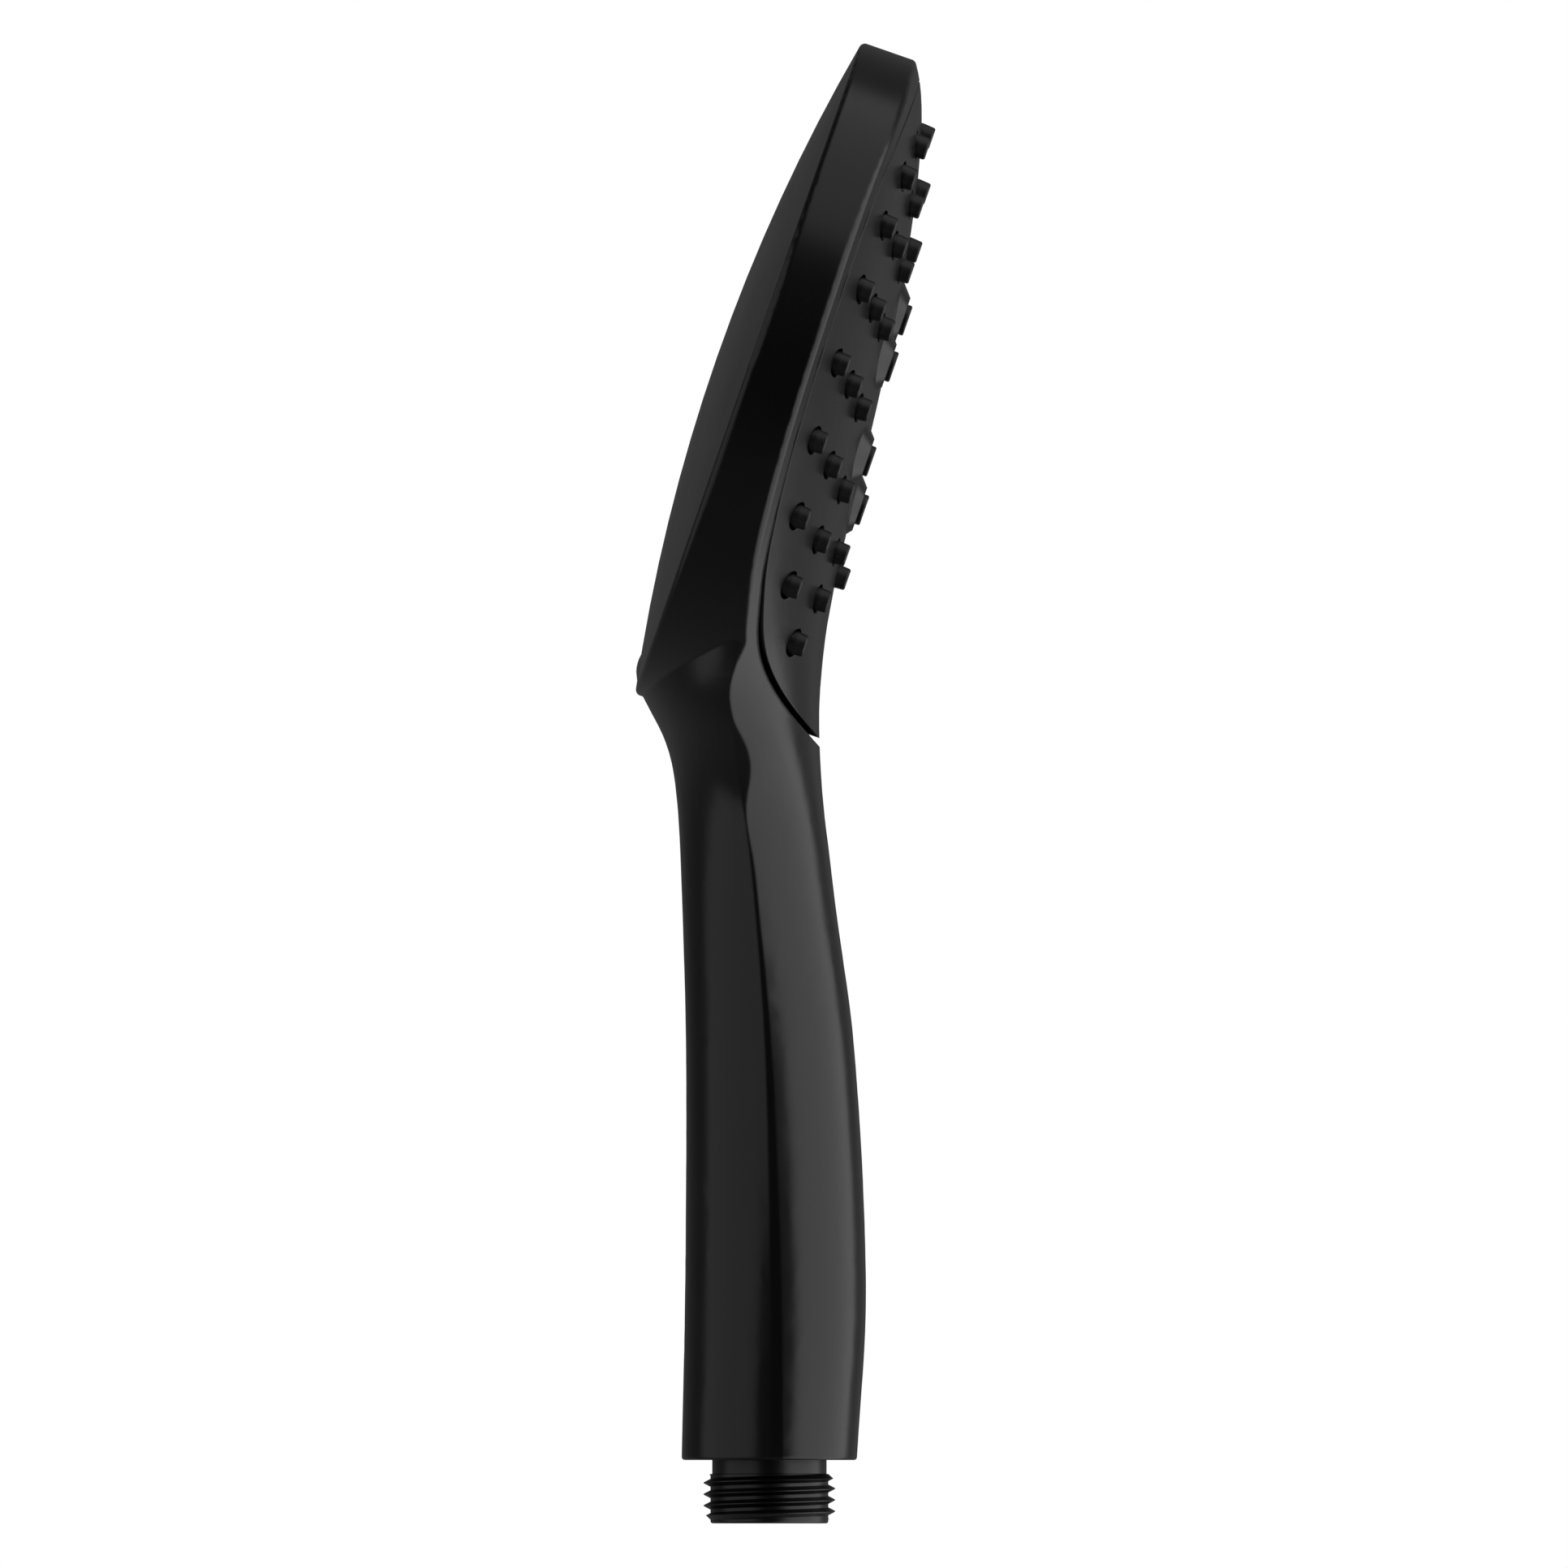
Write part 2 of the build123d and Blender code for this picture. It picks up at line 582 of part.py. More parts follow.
def make_turbine_wheel():
    low = -CHASSIS_BACK + FLANGE_T + HUB_RISE + WHEEL_GAP / 2
    high = POCKET_FLOOR - WHEEL_GAP / 2
    reach = POCKET_R - WHEEL_GAP
    wheel = rod(HUB_R, low, high)
    blade = box(HUB_R / 2, reach - BLADE_TIP, -BLADE_T / 2, BLADE_T / 2, low, high - SHUTTER_T / 2)
    wheel = wheel + [Rot(0, 0, 360 / BLADES * k) * blade for k in range(BLADES)]
    shutter = rod(reach, high - SHUTTER_T, high) & box(0, BIG, -BIG, BIG, -BIG, BIG)
    rim = rod(HUB_R + WHEEL_RIM, high - SHUTTER_T, high)
    return wheel + shutter + rim - rod(AXLE_R + RUN_GAP, -BIG, BIG)


valve_top = front_height(VALVE_U, 0) - MAT_DEPTH - MAT_T - CAP_GAP
valve_foot = -CHASSIS_BACK
inlet_port_r = TUBE_R - TUBE_WALL - INLET_STEP
outlet_z = valve_foot + OUTLET_UP


def sleeve_ring_levels():
    """Middles of the two seal grooves: between the ports, and above the inlet port."""
    between = (outlet_z + OUTLET_R + TUBE_N - inlet_port_r) / 2
    above = (TUBE_N + inlet_port_r + valve_top - CAP_T) / 2
    return [between, above]


def make_valve_sleeve():
    sleeve = tube(SLEEVE_R, SPOOL_R + SPOOL_GAP, valve_foot, valve_top - CAP_T, VALVE_U)
    for z, r in [(TUBE_N, inlet_port_r), (outlet_z, OUTLET_R)]:
        sleeve = sleeve - Pos(VALVE_U, 0, z) * Rot(0, 90, 0) * Cylinder(r, SLEEVE_R * 3)
    for z in sleeve_ring_levels():
        floor_r = SLEEVE_R - SLEEVE_RING_D
        half = SLEEVE_RING_D / 2 + SEAT_GAP
        sleeve = sleeve - tube(SLEEVE_R + 1, floor_r, z - half, z + half, VALVE_U)
    return sleeve


def make_sleeve_cap():
    return tube(SLEEVE_R, SPOOL_TIP_R + SPOOL_GAP, valve_top - CAP_T, valve_top, VALVE_U)


def make_sleeve_orings():
    floor_r = SLEEVE_R - SLEEVE_RING_D
    rings = [oring(SLEEVE_RING_D, floor_r, z, PRESS_GAP) for z in sleeve_ring_levels()]
    return Compound(children=[Pos(VALVE_U, 0, 0) * ring for ring in rings])


def spool_levels():
    return valve_foot + SPOOL_FOOT, valve_top - CAP_T - SPOOL_GAP


def make_diverter_spool():
    low, high = spool_levels()
    spool = rod(SPOOL_R, low, high, VALVE_U)
    waist = (low + high) / 2
    half = SPOOL_WAIST_H / 2
    spool = spool - tube(SPOOL_R + 1, SPOOL_R - SPOOL_WAIST, waist - half, waist + half, VALVE_U)
    for z in spool_ring_levels():
        spool = spool - tube(SPOOL_R + 1, SPOOL_R - RING_D / 2, z - RING_D / 2, z + RING_D / 2, VALVE_U)
    tip = front_height(VALVE_U + SPOOL_TIP_R, SPOOL_TIP_R) - PLATE_T - TIP_GAP
    return spool + rod(SPOOL_TIP_R, high, tip, VALVE_U)


def spool_ring_levels():
    low, high = spool_levels()
    return [low + RING_IN, high - RING_IN]


def make_spool_orings():
    middle_r = SPOOL_R - RING_D / 2 + RING_D / 4
    return Compound(children=[
        Pos(VALVE_U, 0, z) * Torus(middle_r + SEAT_GAP, RING_D / 4) for z in spool_ring_levels()
    ])


def make_hinge_pin():
    return Pos(PIN_U, 0, PIN_N) * Rot(90, 0, 0) * Cylinder(PIN_R, hinge_half * 2)


def coil(r, wire, pitch, turns):
    path = Helix(pitch, pitch * turns, r)
    start = Plane(origin=path @ 0, z_dir=path % 0)
    return sweep(start * Circle(wire / 2), path=path, is_frenet=True)


def make_hinge_springs():
    middle_r = PIN_R + RUN_GAP + SPRING_WIRE / 2
    pitch = SPRING_WIRE * SPRING_LOOSE
    length = pitch * SPRING_TURNS
    springs = []
    for side in (-1, 1):
        middle_y = side * (LUG_IN - SPRING_WIRE - EAR_GAP - length / 2)
        place = Pos(PIN_U, middle_y + length / 2, PIN_N) * Rot(90, 0, 0)
        springs.append(place * coil(middle_r, SPRING_WIRE, pitch, SPRING_TURNS))
    return Compound(children=springs)


def make_chassis_screws():
    z = -CHASSIS_BACK + TAB_T
    screws = []
    for u, w in screw_places:
        shank = rod(SCREW_R - PRESS_GAP, -CHASSIS_BACK - SCREW_IN, z, u, w)
        screws.append(rod(SCREW_HEAD_R, z, z + SCREW_HEAD_H, u, w) + shank)
    return Compound(children=screws)


def make_chamber_screws():
    back = -CHASSIS_BACK - CHAMBER_DEPTH - COVER_T
    screws = []
    for u, w in cover_screw_places():
        shank = rod(SCREW_R - PRESS_GAP, back, -CHASSIS_BACK + COVER_SCREW_IN, u, w)
        screws.append(rod(SCREW_HEAD_R, back - SCREW_HEAD_H, back, u, w) + shank)
    return Compound(children=screws)


def tube_path():
    end_u = VALVE_U - SLEEVE_R - TUBE_SHORT
    end = head_centre + up_face * end_u + spray * TUBE_N
    knee = head_centre + up_face * (-HEAD_R + TUBE_KNEE) + spray * TUBE_N
    points = [(0, 0, TUBE_FOOT), (0, 0, TUBE_STRAIGHT), (knee.X, 0, knee.Z), (end.X, 0, end.Z)]
    return FilletPolyline(*points, radius=[TUBE_BEND, TUBE_HEAD_BEND])


def make_water_tube():
    path = tube_path()
    start = Plane(origin=path @ 0, z_dir=path % 0)
    outer = sweep(start * Circle(TUBE_R), path=path)
    inner = sweep(start * Circle(TUBE_R - TUBE_WALL), path=path)
    return outer - inner


def make_tube_orings():
    foot = oring(ORING_D, TUBE_R, TUBE_FOOT + TUBE_RING_UP)
    top = in_head(Pos(ring_u(), 0, TUBE_N) * Rot(0, 90, 0) * oring(ORING_D, TUBE_R, 0))
    return Compound(children=[foot, top])


def make_thread_ridge():
    depth = THREAD_R - THREAD_CORE_R
    root_r = THREAD_CORE_R - RIDGE_SINK
    low = CREST / 2 + (THREAD_R - root_r) * tan(radians(FLANK_ANGLE))
    outline = Polyline(
        (root_r, 0, -low),
        (THREAD_R, 0, -CREST / 2),
        (THREAD_R, 0, CREST / 2),
        (root_r, 0, low),
        close=True,
    )
    path = Helix(THREAD_PITCH, THREAD_TOP + 2, THREAD_CORE_R, center=(0, 0, -1))
    ridge = sweep(Pos(0, 0, -1) * make_face(outline), path=path, is_frenet=True)
    ridge = Rot(0, 0, THREAD_START) * ridge
    outer_r = THREAD_R + SCREW_GAP
    limit = rod(outer_r, THREAD_FROM + depth, THREAD_TOP - depth)
    limit += frustum(THREAD_CORE_R, outer_r, THREAD_FROM, THREAD_FROM + depth)
    limit += frustum(outer_r, THREAD_CORE_R, THREAD_TOP - depth, THREAD_TOP)
    return ridge & limit


def make_hose_connector():
    core = rod(THREAD_CORE_R, 0, THREAD_TOP)
    core = fillet(core.edges().filter_by(GeomType.CIRCLE).sort_by(Axis.Z)[0], END_ROUND)
    core = core + make_thread_ridge()
    core = core + rod(NECK_R, THREAD_TOP, HANDLE_BOTTOM) + rod(PLUG_R, HANDLE_BOTTOM, PLUG_TOP)
    core = core + rod(SPIGOT_R, PLUG_TOP, SPIGOT_TOP)
    core = core - rod(CARTRIDGE_R + CARTRIDGE_GAP, -1, CARTRIDGE_TOP)
    core = core - rod(TUBE_R - TUBE_WALL, CARTRIDGE_TOP - 1, SPIGOT_TOP + 1)
    core = core - rod(TUBE_R + SCREW_GAP, TUBE_FOOT - SEAT_GAP, SPIGOT_TOP + 1)
    half = ORING_D / 2 + RING_ROOM
    tube_ring_z = TUBE_FOOT + TUBE_RING_UP
    core = core - rod(TUBE_R + ORING_D + RING_ROOM, tube_ring_z - half, tube_ring_z + half)
    groove_z = (HANDLE_BOTTOM + PLUG_TOP) / 2
    return core - tube(PLUG_R + 1, PLUG_R - ORING_D, groove_z - half, groove_z + half)


def make_connector_oring():
    return oring(ORING_D, PLUG_R - ORING_D, (HANDLE_BOTTOM + PLUG_TOP) / 2)


def make_inlet_strainer():
    disc = rod(CARTRIDGE_R, STRAINER_Z, STRAINER_Z + STRAINER_T)
    screen_r = CARTRIDGE_R - STRAINER_RIM
    disc = disc - rod(screen_r, STRAINER_Z - 1, STRAINER_Z + STRAINER_T - STRAINER_SKIN)
    holes = []
    for row in range(-MESH_ROWS, MESH_ROWS + 1):
        for col in range(-MESH_ROWS, MESH_ROWS + 1):
            x = (col + (row % 2) / 2) * MESH_PITCH
            y = row * MESH_PITCH * sqrt(3) / 2
            if hypot(x, y) < screen_r - MESH_HOLE_R:
                holes.append(rod(MESH_HOLE_R, 0, BIG, x, y))
    return disc - holes


limiter_z = STRAINER_Z + STRAINER_T + STACK_GAP
valve_z = limiter_z + LIMITER_T + STACK_GAP


def make_flow_limiter():
    body = rod(CARTRIDGE_R, limiter_z, limiter_z + LIMITER_T)
    wall_r = CARTRIDGE_R - LIMITER_WALL
    body = body - tube(wall_r, LIMITER_POST_R, limiter_z - 1, limiter_z + LIMITER_T - LIMITER_ROOF)
    hole = rod(LIMITER_HOLE_R, 0, BIG, (wall_r + LIMITER_POST_R) / 2)
    return body - [Rot(0, 0, 360 / LIMITER_HOLES * k) * hole for k in range(LIMITER_HOLES)]


def make_limiter_ring():
    return oring(ORING_D, LIMITER_POST_R, limiter_z + ORING_D / 2 + LIMITER_RING_UP)


def make_check_valve_housing():
    housing = tube(CARTRIDGE_R, CARTRIDGE_R - VALVE_WALL, valve_z, CARTRIDGE_TOP - STACK_GAP)
    return housing + tube(CARTRIDGE_R, VALVE_SEAT_R, valve_z, valve_z + VALVE_SEAT_T)


guide_top = CARTRIDGE_TOP - STACK_GAP
guide_low = guide_top - GUIDE_T
seal_low = valve_z + VALVE_SEAT_T + SEAL_GAP
poppet_low = seal_low + SEAL_T


def make_check_valve_guide():
    guide_r = CARTRIDGE_R - VALVE_WALL - GUIDE_GAP
    guide = rod(guide_r, guide_low, guide_top)
    hole = rod(GUIDE_HOLE_R, 0, BIG, guide_r - GUIDE_HOLE_IN)
    guide = guide - [Rot(0, 0, 360 / GUIDE_HOLES * k) * hole for k in range(GUIDE_HOLES)]
    return guide - rod(STEM_R + STEM_GAP, 0, BIG)


def make_check_valve_poppet():
    poppet = rod(POPPET_R, poppet_low, poppet_low + POPPET_T)
    return poppet + rod(STEM_R, poppet_low, guide_top)


def make_poppet_seal():
    return tube(POPPET_R, VALVE_SEAT_R - SEAL_T, seal_low, poppet_low)


def make_check_valve_spring():
    low = poppet_low + POPPET_T + VALVE_SPRING_WIRE / 2 + SEAT_GAP
    high = guide_low - VALVE_SPRING_WIRE / 2 - SEAT_GAP
    pitch = (high - low) / VALVE_SPRING_TURNS
    return Pos(0, 0, low) * coil(STEM_R + VALVE_SPRING_OUT, VALVE_SPRING_WIRE, pitch, VALVE_SPRING_TURNS)


HEAD_PIECES = {
    "spray_plate": make_spray_plate,
    "nozzle_mat": make_nozzle_mat,
    "massage_jets": make_massage_jets,
    "spray_chassis": make_spray_chassis,
    "chamber_cover": make_chamber_cover,
    "chamber_gasket": make_chamber_gasket,
    "chamber_screws": make_chamber_screws,
    "chassis_screws": make_chassis_screws,
    "turbine_cover": make_turbine_cover,
    "turbine_axle": make_turbine_axle,
    "turbine_wheel": make_turbine_wheel,
    "valve_sleeve": make_valve_sleeve,
    "sleeve_cap": make_sleeve_cap,
    "sleeve_orings": make_sleeve_orings,
    "diverter_spool": make_diverter_spool,
    "spool_orings": make_spool_orings,
    "hinge_pin": make_hinge_pin,
    "hinge_springs": make_hinge_springs,
}
HANDLE_PIECES = {
    "body_shell": make_body_shell,
    "hose_connector": make_hose_connector,
    "connector_oring": make_connector_oring,
    "inlet_strainer": make_inlet_strainer,
    "flow_limiter": make_flow_limiter,
    "limiter_ring": make_limiter_ring,
    "check_valve_housing": make_check_valve_housing,
    "check_valve_guide": make_check_valve_guide,
    "check_valve_poppet": make_check_valve_poppet,
    "poppet_seal": make_poppet_seal,
    "check_valve_spring": make_check_valve_spring,
    "water_tube": make_water_tube,
    "tube_orings": make_tube_orings,
}

os.makedirs("parts", exist_ok=True)
for name, make in HEAD_PIECES.items():
    export_step(in_head(make()), f"parts/{name}.step")
for name, make in HANDLE_PIECES.items():
    export_step(make(), f"parts/{name}.step")
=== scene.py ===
# %% [markdown]
# # A handheld shower head, dressed over its CAD frame
# The solids of this hand shower come from a CAD file: a moulded body, a spray plate
# that rocks on a hinge, rubber nozzles and the valve pieces inside. Blender adds the
# looks. We load the solids first, because every piece that we make here has to sit
# exactly where the CAD puts it.

# %% Load the frame
import json
from math import cos, pi, radians, sin

import bmesh
import bpy
from mathutils import Matrix, Vector


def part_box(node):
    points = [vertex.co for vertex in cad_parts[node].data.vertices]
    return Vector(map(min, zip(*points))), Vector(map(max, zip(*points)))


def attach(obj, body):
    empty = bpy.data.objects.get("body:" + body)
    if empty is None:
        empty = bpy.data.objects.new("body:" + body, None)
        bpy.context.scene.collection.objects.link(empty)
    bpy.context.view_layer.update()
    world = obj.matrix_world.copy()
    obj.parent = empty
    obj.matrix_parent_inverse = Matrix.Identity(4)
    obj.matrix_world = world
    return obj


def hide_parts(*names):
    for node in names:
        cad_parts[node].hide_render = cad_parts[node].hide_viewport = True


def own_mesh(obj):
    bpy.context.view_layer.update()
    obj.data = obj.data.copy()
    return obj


MM = 0.001
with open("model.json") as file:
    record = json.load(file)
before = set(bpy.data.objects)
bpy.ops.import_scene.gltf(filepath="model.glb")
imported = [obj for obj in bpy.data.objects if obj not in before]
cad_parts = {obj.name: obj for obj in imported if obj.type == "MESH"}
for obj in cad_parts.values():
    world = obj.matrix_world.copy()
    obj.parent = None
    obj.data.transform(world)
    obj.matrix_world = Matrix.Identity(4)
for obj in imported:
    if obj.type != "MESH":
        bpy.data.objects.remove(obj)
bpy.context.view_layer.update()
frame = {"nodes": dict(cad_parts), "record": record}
nodes = frame["nodes"]

# %% [markdown]
# ## Camera
# The photograph is a straight side view with no vanishing lines, so an orthographic
# camera is the honest choice. The inlet thread is a standard size, and it gives
# the scale: the picture is about 250 mm wide.

# %% Camera
FRAME_WIDTH = 249.9 * MM
FRAME_CENTRE = Vector((2.33, 0, 117.85)) * MM
CAMERA_DISTANCE = 1.0

camera_data = bpy.data.cameras.new("side_camera")
camera_data.type = "ORTHO"
camera_data.ortho_scale = FRAME_WIDTH
camera = bpy.data.objects.new("side_camera", camera_data)
camera.location = FRAME_CENTRE + Vector((0, -CAMERA_DISTANCE, 0))
camera.rotation_euler = (pi / 2, 0, 0)
bpy.context.scene.collection.objects.link(camera)
bpy.context.scene.camera = camera
bpy.context.scene.view_settings.view_transform = "Standard"
print("camera sees", round(FRAME_WIDTH / MM, 1), "mm")

# %% [markdown]
# ## Soft boxes
# Satin black plastic has almost no colour of its own. What the eye reads as its shape
# is the reflection of the lamps, so the lamps are placed by asking which way each part
# of the surface mirrors the camera's line of sight. One large soft box on the spray side
# gives the bright front half of the handle, a dimmer one on the other side gives the
# back half, and the side line between them mirrors the dark gap at the camera. A soft
# box overhead lights the top of the head's band, and a weak one behind lights the plate.
# A lamp's power is worked out from the brightness that its face should have, so that a
# larger box is softer without being brighter.

# %% Soft boxes
BOX_DISTANCE = 0.9


def soft_box(name, turn, rise, width, height, radiance, distance=BOX_DISTANCE):
    """An area lamp that faces the object: turned from the camera's side, and raised, in degrees."""
    lamp = bpy.data.lights.new(name, "AREA")
    lamp.shape = "RECTANGLE"
    lamp.size = width
    lamp.size_y = height
    lamp.energy = radiance * pi * width * height
    stand = bpy.data.objects.new(name, lamp)
    a, e = radians(turn), radians(rise)
    aim = Vector((sin(a) * cos(e), -cos(a) * cos(e), sin(e)))
    stand.location = FRAME_CENTRE + aim * distance
    stand.rotation_euler = aim.to_track_quat("Z", "Y").to_euler()
    bpy.context.scene.collection.objects.link(stand)
    return stand


boxes = [
    soft_box("spray_side_box", turn=76, rise=-14, width=1.75, height=2.3, radiance=1.38),
    soft_box("spray_rim_box", turn=142, rise=0, width=0.6, height=1.4, radiance=0.08, distance=1.0),
    soft_box("back_side_box", turn=-61, rise=2, width=1.4, height=1.5, radiance=0.44),
    soft_box("top_box", turn=70, rise=65, width=1.1, height=1.1, radiance=0.56),
]
print("soft boxes:", [box.name for box in boxes])

# %% [markdown]
# ## Floor and cloth
# A photographer hangs dark cloth round a black product, or its edges would vanish in
# white. The cloth here is a large ball that the camera doesn't see and that throws no
# shadow. The floor is a plain disc. It takes the object's shadow, but doesn't show in
# reflections, because the object was photographed hanging free.

# %% Floor and cloth
FLOOR_R = 0.9
FLOOR_SEGMENTS = 96
CLOTH_R = 2.4
CLOTH_SUBDIVISIONS = 4


def mesh_object(name, bm):
    """Makes an object of the scene from a finished bmesh."""
    mesh = bpy.data.meshes.new(name)
    bm.to_mesh(mesh)
    bm.free()
    made = bpy.data.objects.new(name, mesh)
    bpy.context.scene.collection.objects.link(made)
    return made


bm = bmesh.new()
bmesh.ops.create_circle(bm, cap_ends=True, segments=FLOOR_SEGMENTS, radius=FLOOR_R)
floor = mesh_object("floor", bm)
floor.visible_glossy = False

bm = bmesh.new()
bmesh.ops.create_icosphere(bm, subdivisions=CLOTH_SUBDIVISIONS, radius=CLOTH_R)
cloth = mesh_object("dark_cloth", bm)
cloth.visible_camera = False
cloth.visible_shadow = False
print("stage:", floor.name, cloth.name)

# %% [markdown]
# ## Dark cloth
# The cloth glows a little, because that is all that the black plastic can mirror where no
# lamp stands. It is lighter behind the object than beside the camera, and lighter again
# below, where a real cloth catches what the floor throws back. A gradient along the
# cloth's own axes says this with two numbers for each direction.

# %% Dark cloth
CLOTH_BY_CAMERA = 0.04
CLOTH_BEHIND = 0.1
CLOTH_BELOW = 0.08


def new_material(name):
    material = bpy.data.materials.new(name)
    material.use_nodes = True
    tree = material.node_tree
    tree.nodes.clear()
    return material, tree


def add(tree, kind, sockets=None, **settings):
    """A new node with its settings, and with values on the sockets that nothing is linked to."""
    node = tree.nodes.new(kind)
    for key, value in settings.items():
        setattr(node, key, value)
    for label, value in (sockets or {}).items():
        node.inputs[label].default_value = value
    return node


def dark_cloth():
    material, tree = new_material("dark_cloth")
    link = tree.links.new
    out = add(tree, "ShaderNodeOutputMaterial")
    place = add(tree, "ShaderNodeTexCoord")
    split = add(tree, "ShaderNodeSeparateXYZ")
    away = {"From Min": -CLOTH_R, "From Max": CLOTH_R, "To Min": CLOTH_BY_CAMERA, "To Max": CLOTH_BEHIND}
    behind = add(tree, "ShaderNodeMapRange", away, interpolation_type="SMOOTHSTEP")
    down = {"From Min": 0.0, "From Max": -CLOTH_R, "To Max": CLOTH_BELOW}
    below = add(tree, "ShaderNodeMapRange", down)
    both = add(tree, "ShaderNodeMath", operation="ADD")
    glow = add(tree, "ShaderNodeEmission")
    link(place.outputs["Object"], split.inputs["Vector"])
    link(split.outputs["Y"], behind.inputs["Value"])
    link(split.outputs["Z"], below.inputs["Value"])
    link(behind.outputs["Result"], both.inputs[0])
    link(below.outputs["Result"], both.inputs[1])
    link(both.outputs[0], glow.inputs["Color"])
    link(glow.outputs[0], out.inputs["Surface"])
    return material


cloth.data.materials.append(dark_cloth())
print("cloth glows from", CLOTH_BY_CAMERA, "by the camera to", CLOTH_BEHIND, "behind")

# %% [markdown]
# ## Pale floor and white background
# The white of the background is seen and not felt: the world shines only on rays that
# come from the camera or through gloss and glass, so it puts no light on the object.
# The floor is matt and pale where the object stands and takes its shadow. Towards its edge
# it fades into the same white for the camera's eye, so that no edge shows.

# %% Pale floor and white background
FLOOR_TONE = (0.8, 0.8, 0.8, 1)
FLOOR_WHITE = 0.5
FADE_START = 0.25
WHITE = (1, 1, 1, 1)


def pale_floor():
    material, tree = new_material("pale_floor")
    link = tree.links.new
    out = add(tree, "ShaderNodeOutputMaterial")
    place = add(tree, "ShaderNodeTexCoord")
    reach = add(tree, "ShaderNodeVectorMath", operation="LENGTH")
    outwards = {"From Min": FADE_START, "From Max": FLOOR_R, "To Min": FLOOR_WHITE}
    fade = add(tree, "ShaderNodeMapRange", outwards, interpolation_type="SMOOTHSTEP")
    matt = add(tree, "ShaderNodeBsdfDiffuse", {"Color": FLOOR_TONE})
    white = add(tree, "ShaderNodeEmission")
    mix = add(tree, "ShaderNodeMixShader")
    path = add(tree, "ShaderNodeLightPath")
    seen = add(tree, "ShaderNodeMath", operation="MULTIPLY")
    link(place.outputs["Object"], reach.inputs[0])
    link(reach.outputs["Value"], fade.inputs["Value"])
    link(fade.outputs["Result"], seen.inputs[0])
    link(path.outputs["Is Camera Ray"], seen.inputs[1])
    link(seen.outputs[0], mix.inputs["Fac"])
    link(matt.outputs[0], mix.inputs[1])
    link(white.outputs[0], mix.inputs[2])
    link(mix.outputs[0], out.inputs["Surface"])
    return material


def white_background():
    world = bpy.data.worlds.new("studio")
    world.use_nodes = True
    tree = world.node_tree
    tree.nodes.clear()
    link = tree.links.new
    out = add(tree, "ShaderNodeOutputWorld")
    path = add(tree, "ShaderNodeLightPath")
    seen = add(tree, "ShaderNodeMath", operation="ADD", use_clamp=True)
    seen_all = add(tree, "ShaderNodeMath", operation="ADD", use_clamp=True)
    back = add(tree, "ShaderNodeBackground", {"Color": WHITE})
    link(path.outputs["Is Camera Ray"], seen.inputs[0])
    link(path.outputs["Is Glossy Ray"], seen.inputs[1])
    link(seen.outputs[0], seen_all.inputs[0])
    link(path.outputs["Is Transmission Ray"], seen_all.inputs[1])
    link(seen_all.outputs[0], back.inputs["Strength"])
    link(back.outputs[0], out.inputs["Surface"])
    return world


floor.data.materials.append(pale_floor())
bpy.context.scene.world = white_background()
print("background:", bpy.context.scene.world.name)

# %% [markdown]
# ## Shared finish effects
# Moulded plastic and rubber are never one flat tone. A spark-eroded mould leaves a fine
# grain, and cooling leaves broad, faint changes in tone and gloss. Both effects are used
# by several materials, so each is a node group that is built once: it reads the piece's
# own Object coordinates, so the pattern stays on the piece when it moves.

# %% Node groups
NOISE_LOW, NOISE_HIGH = 0.3, 0.7


def new_group(name, inputs, outputs):
    group = bpy.data.node_groups.new(name, "ShaderNodeTree")
    for label, value in inputs.items():
        socket = group.interface.new_socket(label, in_out="INPUT", socket_type="NodeSocketFloat")
        socket.default_value = value
    for label in outputs:
        group.interface.new_socket(label, in_out="OUTPUT", socket_type="NodeSocketFloat")
    entry = add(group, "NodeGroupInput")
    end = add(group, "NodeGroupOutput")
    return group, entry, end


def object_noise(tree, detail, roughness):
    """A noise texture on the piece's own coordinates."""
    place = add(tree, "ShaderNodeTexCoord")
    noise = add(tree, "ShaderNodeTexNoise", {"Detail": detail, "Roughness": roughness})
    tree.links.new(place.outputs["Object"], noise.inputs["Vector"])
    return noise


def make_moulded_grain():
    group, entry, end = new_group("moulded_grain", {"Grains per metre": 5000.0}, ["Height"])
    noise = object_noise(group, detail=2.0, roughness=0.5)
    group.links.new(entry.outputs["Grains per metre"], noise.inputs["Scale"])
    group.links.new(noise.outputs["Fac"], end.inputs["Height"])
    return group


def make_cooling_marks():
    inputs = {"Marks per metre": 60.0, "Low": 0.3, "High": 0.4}
    group, entry, end = new_group("cooling_marks", inputs, ["Share", "Value"])
    link = group.links.new
    noise = object_noise(group, detail=4.0, roughness=0.55)
    ends = {"From Min": NOISE_LOW, "From Max": NOISE_HIGH}
    spread = add(group, "ShaderNodeMapRange", ends, clamp=True)
    scale = add(group, "ShaderNodeMapRange", clamp=True)
    link(entry.outputs["Marks per metre"], noise.inputs["Scale"])
    link(noise.outputs["Fac"], spread.inputs["Value"])
    link(spread.outputs["Result"], scale.inputs["Value"])
    link(entry.outputs["Low"], scale.inputs["To Min"])
    link(entry.outputs["High"], scale.inputs["To Max"])
    link(spread.outputs["Result"], end.inputs["Share"])
    link(scale.outputs["Result"], end.inputs["Value"])
    return group


moulded_grain = make_moulded_grain()
cooling_marks = make_cooling_marks()
print("groups:", moulded_grain.name, cooling_marks.name)

# %% [markdown]
# ## A moulded finish
# The body and plate are one satin black plastic. Its colour is close to nothing, so
# what we see is its gloss: medium roughness, with a slightly softened edge. Real
# mouldings have no knife edges, and a Bevel node rounds what light sees of
# each edge by the radius that the real mould has there. Inside, pale acetal, black
# rubber seals and steel get the same groups with their own values, so one function
# makes all of them.

